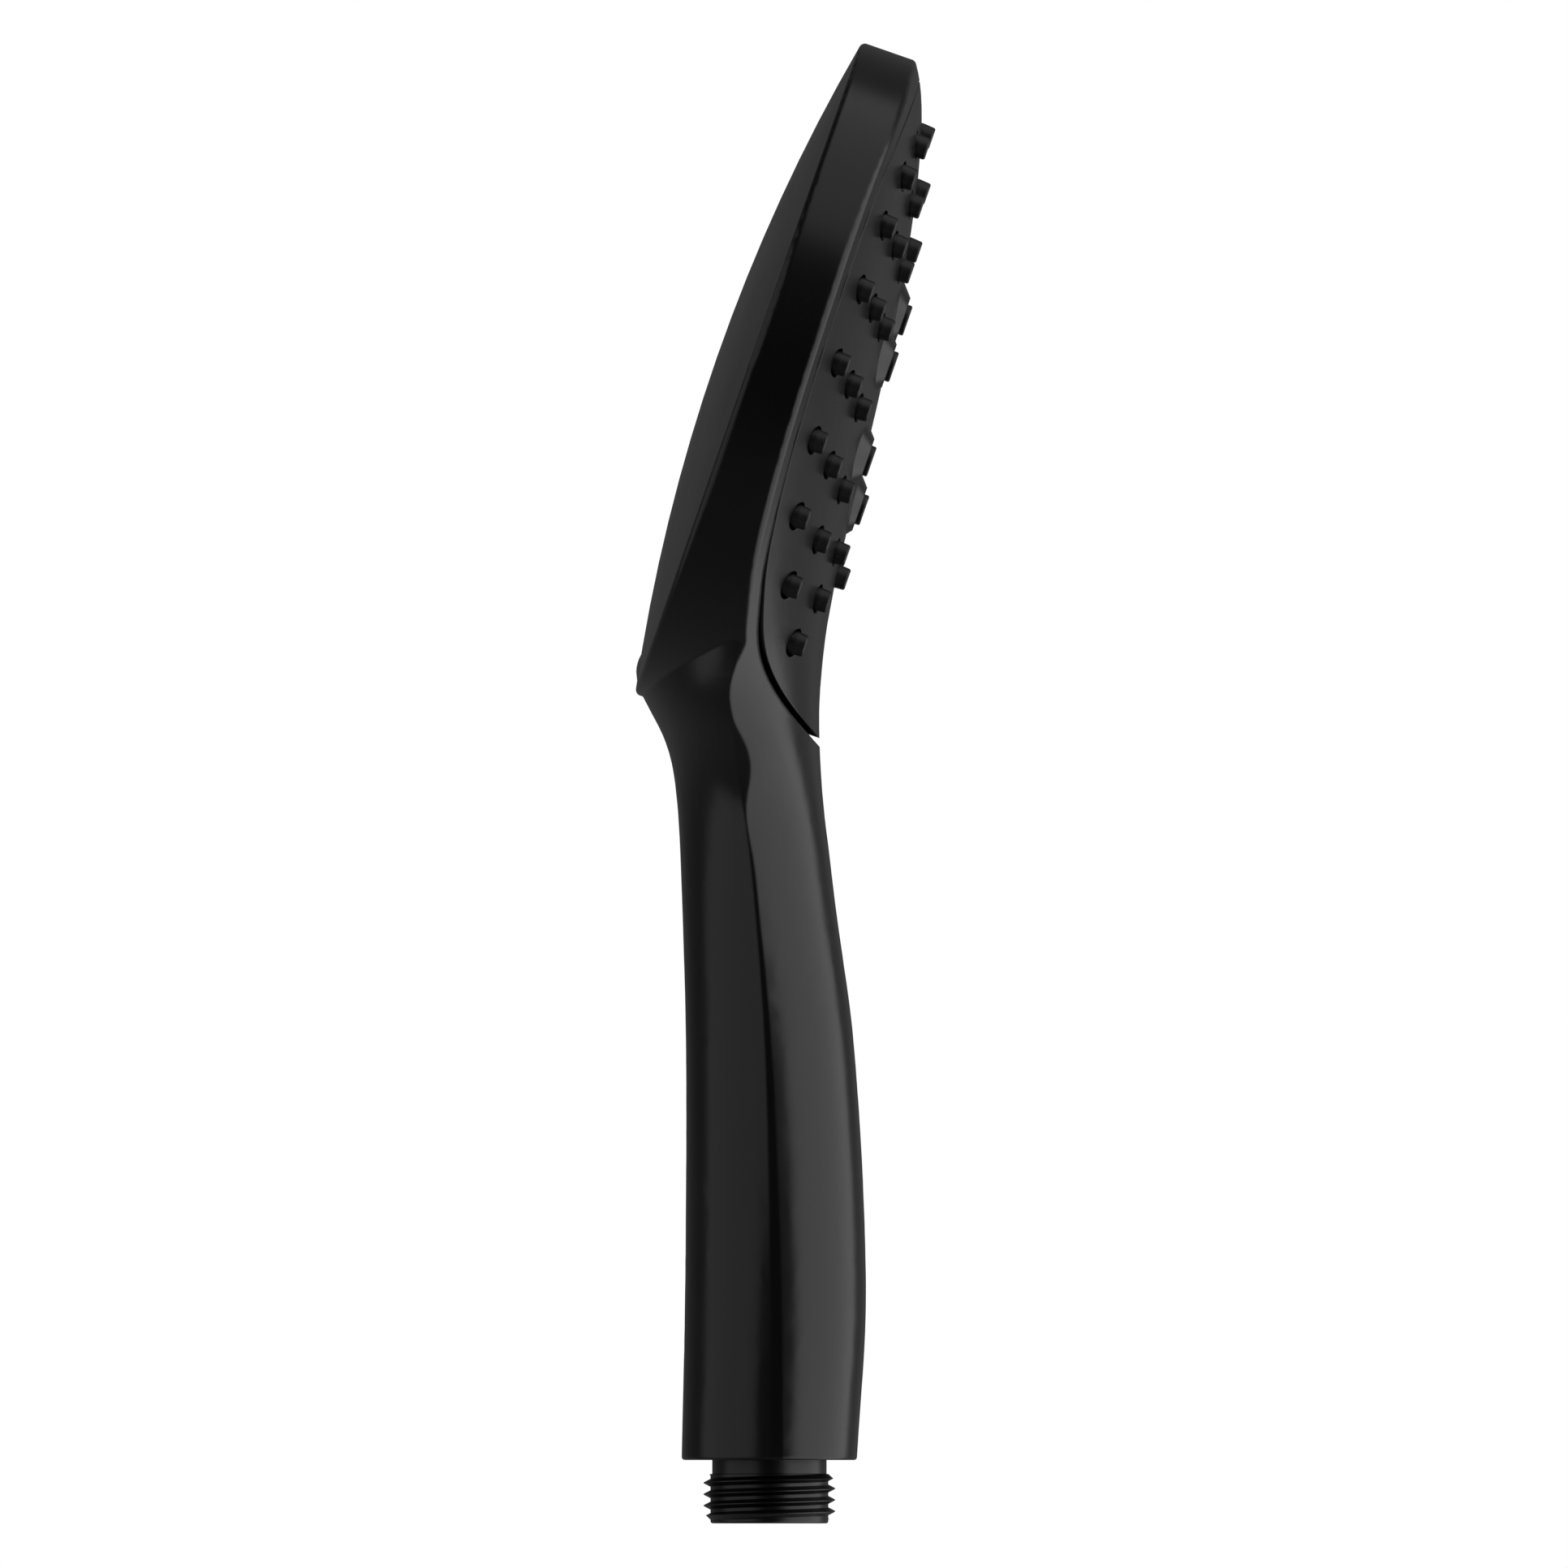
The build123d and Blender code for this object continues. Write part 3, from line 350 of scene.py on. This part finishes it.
# %% A moulded finish
GRAIN_STRENGTH = 0.5
BEVEL_SAMPLES = 6


def finish(name, tones, gloss, grain, depth, edge, metallic=0.0, marks=60.0):
    """A moulded or drawn surface: two tones, a roughness range, grains and cooling marks per
    metre, and the grain's depth and the edge's radius in mm."""
    material, tree = new_material(name)
    link = tree.links.new
    out = add(tree, "ShaderNodeOutputMaterial")
    shader = add(tree, "ShaderNodeBsdfPrincipled", {"Metallic": metallic})
    cooled = {"Marks per metre": marks, "Low": gloss[0], "High": gloss[1]}
    surface = add(tree, "ShaderNodeGroup", cooled, node_tree=cooling_marks)
    grains = add(tree, "ShaderNodeGroup", {"Grains per metre": grain}, node_tree=moulded_grain)
    two_tones = {"A": (*tones[0], 1), "B": (*tones[1], 1)}
    tone = add(tree, "ShaderNodeMix", two_tones, data_type="RGBA")
    bump = add(tree, "ShaderNodeBump", {"Strength": GRAIN_STRENGTH, "Distance": depth * MM})
    rounded = add(tree, "ShaderNodeBevel", {"Radius": edge * MM}, samples=BEVEL_SAMPLES)
    link(surface.outputs["Share"], tone.inputs["Factor"])
    link(tone.outputs["Result"], shader.inputs["Base Color"])
    link(surface.outputs["Value"], shader.inputs["Roughness"])
    link(grains.outputs["Height"], bump.inputs["Height"])
    link(rounded.outputs["Normal"], bump.inputs["Normal"])
    link(bump.outputs["Normal"], shader.inputs["Normal"])
    link(shader.outputs["BSDF"], out.inputs["Surface"])
    return material


BLACK = ((0.0012, 0.0012, 0.0013), (0.002, 0.002, 0.0021))
black_shell = finish("satin_black", BLACK, gloss=(0.24, 0.28), grain=5000, depth=0.006, edge=0.7)
black_plate = finish("satin_black_plate", BLACK, gloss=(0.26, 0.3), grain=5000, depth=0.006, edge=0.35)
black_thread = finish("satin_black_thread", BLACK, gloss=(0.3, 0.35), grain=5000, depth=0.006, edge=0.15)
print("black finishes:", black_shell.name, black_plate.name, black_thread.name)

# %% [markdown]
# ## Rubber, acetal and steel
# The nozzles are soft black rubber, duller than the plate, so that they don't glint as it
# does. The seals are a greyer rubber with coarser marks. The valve's bodies are pale acetal,
# and its pins, screws and springs are drawn steel, where close marks stand for the
# drawing lines. Each CAD piece has a slot in its record, and takes the finish of that slot.

# %% Rubber, acetal and steel
RUBBER = ((0.0012, 0.0012, 0.0012), (0.0025, 0.0025, 0.0025))
SEAL = ((0.012, 0.012, 0.012), (0.024, 0.024, 0.023))
ACETAL = ((0.66, 0.65, 0.6), (0.76, 0.75, 0.71))
STEEL = ((0.5, 0.5, 0.5), (0.6, 0.6, 0.6))
finishes = {
    "black_shell": black_shell,
    "plate_plastic": black_plate,
    "thread_plastic": black_thread,
    "nozzle_rubber": finish(
        "soft_black_rubber", RUBBER, gloss=(0.36, 0.44), grain=7000, depth=0.006, edge=0.25
    ),
    "seal_rubber": finish(
        "seal_rubber", SEAL, gloss=(0.45, 0.55), grain=6000, depth=0.01, edge=0.05, marks=200
    ),
    "inner_plastic": finish(
        "pale_acetal", ACETAL, gloss=(0.35, 0.45), grain=4000, depth=0.01, edge=0.2
    ),
    "steel": finish(
        "drawn_steel", STEEL, gloss=(0.22, 0.38), grain=9000, depth=0.004, edge=0.05, metallic=1.0, marks=400
    ),
}
slot_of = {part["node"]: part["material_slot"] for part in frame["record"]["subparts"]}
for name, node in nodes.items():
    node.data.materials.clear()
    node.data.materials.append(finishes[slot_of[name]])
print(len(nodes), "CAD nodes dressed in", len(finishes), "finishes")

# %% [markdown]
# ## Check valve spring
# Above the inlet, a small steel coil holds the check valve shut. Water lifts the valve's
# poppet, and the coil closes up against the guide above it. The CAD coil is rigid and can't
# do that, and this coil is wound as a mesh in its place. A curve with a round bevel could
# make it too, but only a mesh can be flattened, and a coil is just a circle of wire that is
# spun round the axis while it climbs.

# %% Wind the spring
SPRING_WIRE = 0.5 * MM
SPRING_TURNS = 5
STEPS_PER_TURN = 32
WIRE_SIDES = 12
SIDE_CORNERS = 4

spring_low, spring_high = (Vector(corner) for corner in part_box("check_valve_spring"))
middle = (spring_low + spring_high) / 2
height = spring_high.z - spring_low.z
coil_r = (spring_high.x - spring_low.x - SPRING_WIRE) / 2
steps = SPRING_TURNS * STEPS_PER_TURN
wire_end = Vector((middle.x + coil_r, middle.y, spring_low.z + SPRING_WIRE / 2))

bm = bmesh.new()
bmesh.ops.create_circle(
    bm,
    cap_ends=True,
    segments=WIRE_SIDES,
    radius=SPRING_WIRE / 2,
    matrix=Matrix.Translation(wire_end) @ Matrix.Rotation(pi / 2, 4, "X"),
)
bmesh.ops.spin(
    bm,
    geom=bm.faces[:],
    cent=middle,
    axis=(0, 0, 1),
    dvec=(0, 0, (height - SPRING_WIRE) / steps),
    angle=2 * pi * SPRING_TURNS,
    steps=steps,
)
bmesh.ops.recalc_face_normals(bm, faces=bm.faces[:])
for face in bm.faces:
    face.smooth = len(face.verts) == SIDE_CORNERS
open_edges = sum(not edge.is_manifold for edge in bm.edges)
spring = mesh_object("valve_coil", bm)
spring.data.materials.append(finishes["steel"])
print("coil", round(height / MM, 2), "mm high, open edges", open_edges)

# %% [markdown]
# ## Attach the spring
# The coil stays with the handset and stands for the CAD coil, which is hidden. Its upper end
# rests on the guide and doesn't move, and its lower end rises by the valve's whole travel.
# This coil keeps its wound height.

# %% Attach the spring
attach(spring, "handset")
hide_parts("check_valve_spring")
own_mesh(spring)
